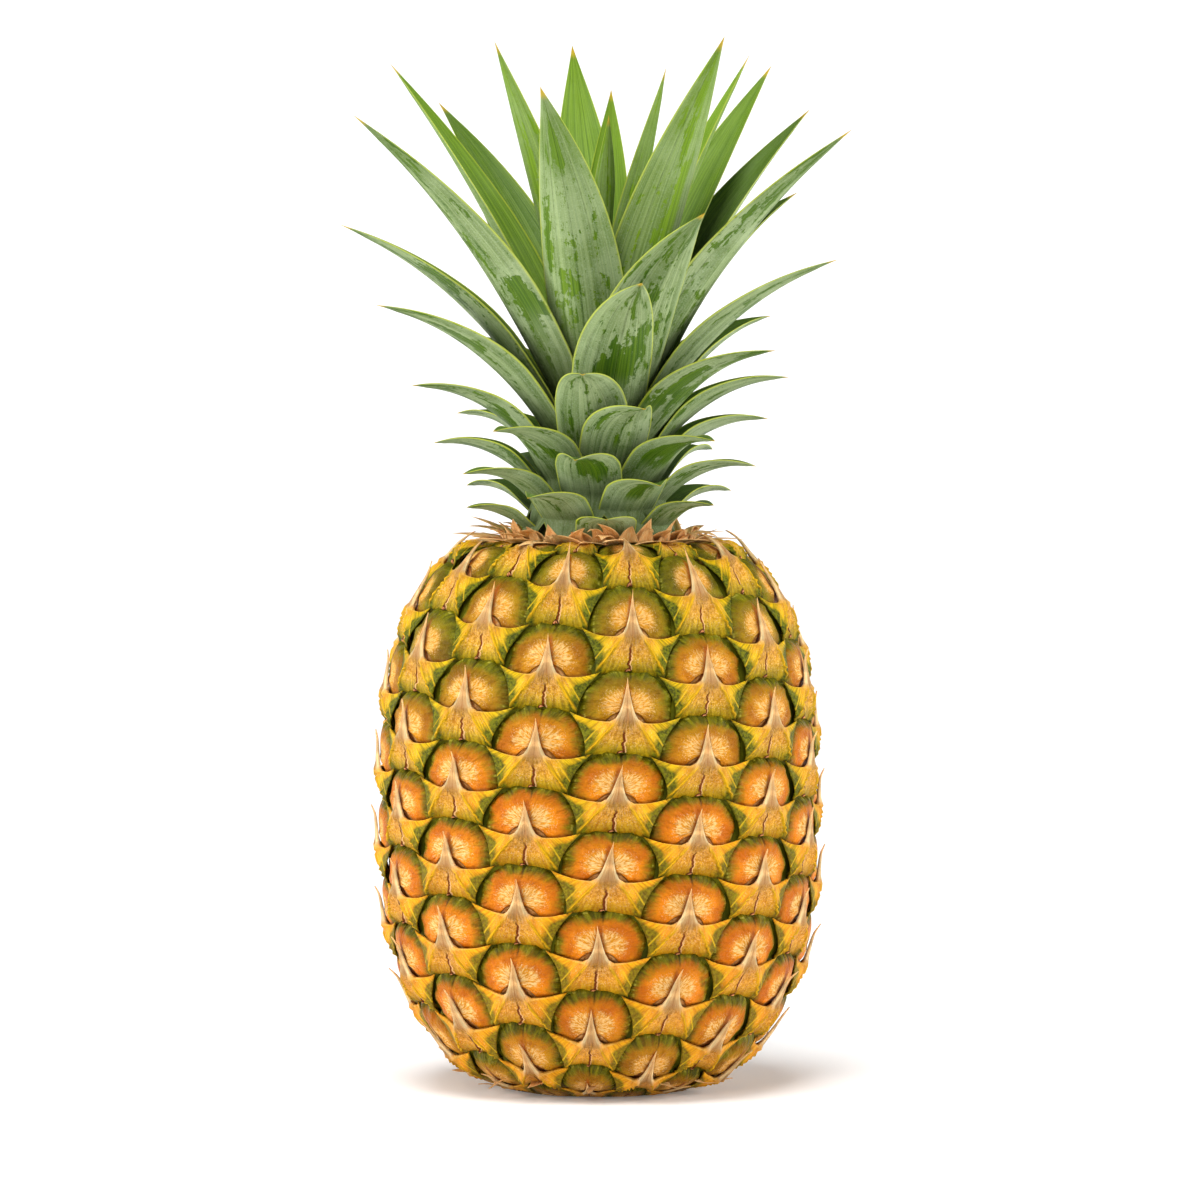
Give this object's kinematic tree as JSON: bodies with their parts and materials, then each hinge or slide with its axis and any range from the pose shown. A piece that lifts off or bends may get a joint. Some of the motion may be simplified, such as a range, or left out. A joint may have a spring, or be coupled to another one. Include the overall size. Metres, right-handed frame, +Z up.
{
  "type": "pineapple",
  "caption": "Whole ripe pineapple standing on its cut base: barrel-shaped fruit with a rind of spiny eyes, and a leafy crown.",
  "frame": {"origin": "middle of the base, on the surface that the fruit stands on", "axes": "+Z up along the fruit's axis to the crown, -Y to the viewer of the picture, +X to the viewer's right"},
  "size_m": [0.1475, 0.1404, 0.3052],
  "materials": {
    "rind": "waxy, satin",
    "cut_stalk": "dry cut fibre",
    "dried_bract": "dry and papery",
    "leaf": "waxy bloom",
    "leaf_base": "matte"
  },
  "bodies": {
    "root": {"fruit": "rind", "cut_stalk": "cut_stalk", "dried_bracts": "dried_bract", "crown_stem": "leaf_base", "crown_leaf_01": "leaf", "crown_leaf_02": "leaf", "crown_leaf_03": "leaf", "crown_leaf_04": "leaf", "crown_leaf_05": "leaf", "crown_leaf_06": "leaf", "crown_leaf_07": "leaf", "crown_leaf_08": "leaf", "crown_leaf_09": "leaf", "crown_leaf_10": "leaf", "crown_leaf_11": "leaf", "crown_leaf_12": "leaf", "crown_leaf_13": "leaf", "crown_leaf_14": "leaf", "crown_leaf_15": "leaf", "crown_leaf_16": "leaf", "crown_leaf_17": "leaf", "crown_leaf_18": "leaf", "crown_leaf_19": "leaf", "crown_leaf_20": "leaf", "crown_leaf_21": "leaf", "crown_leaf_22": "leaf", "crown_leaf_23": "leaf", "crown_leaf_24": "leaf", "crown_leaf_25": "leaf", "crown_leaf_26": "leaf", "crown_leaf_27": "leaf", "crown_leaf_28": "leaf", "crown_leaf_29": "leaf", "crown_leaf_30": "leaf", "crown_leaf_31": "leaf", "crown_leaf_32": "leaf", "crown_leaf_33": "leaf", "crown_leaf_34": "leaf", "crown_leaf_35": "leaf", "crown_leaf_36": "leaf", "crown_leaf_37": "leaf", "crown_leaf_38": "leaf", "crown_leaf_39": "leaf", "crown_leaf_40": "leaf", "crown_leaf_41": "leaf", "crown_leaf_42": "leaf", "crown_leaf_43": "leaf", "crown_leaf_44": "leaf", "crown_leaf_45": "leaf", "crown_leaf_46": "leaf", "crown_leaf_47": "leaf", "crown_leaf_48": "leaf", "crown_leaf_49": "leaf", "crown_leaf_50": "leaf", "crown_leaf_51": "leaf", "crown_leaf_52": "leaf", "crown_leaf_53": "leaf", "crown_leaf_54": "leaf"}
  },
  "joints": []
}
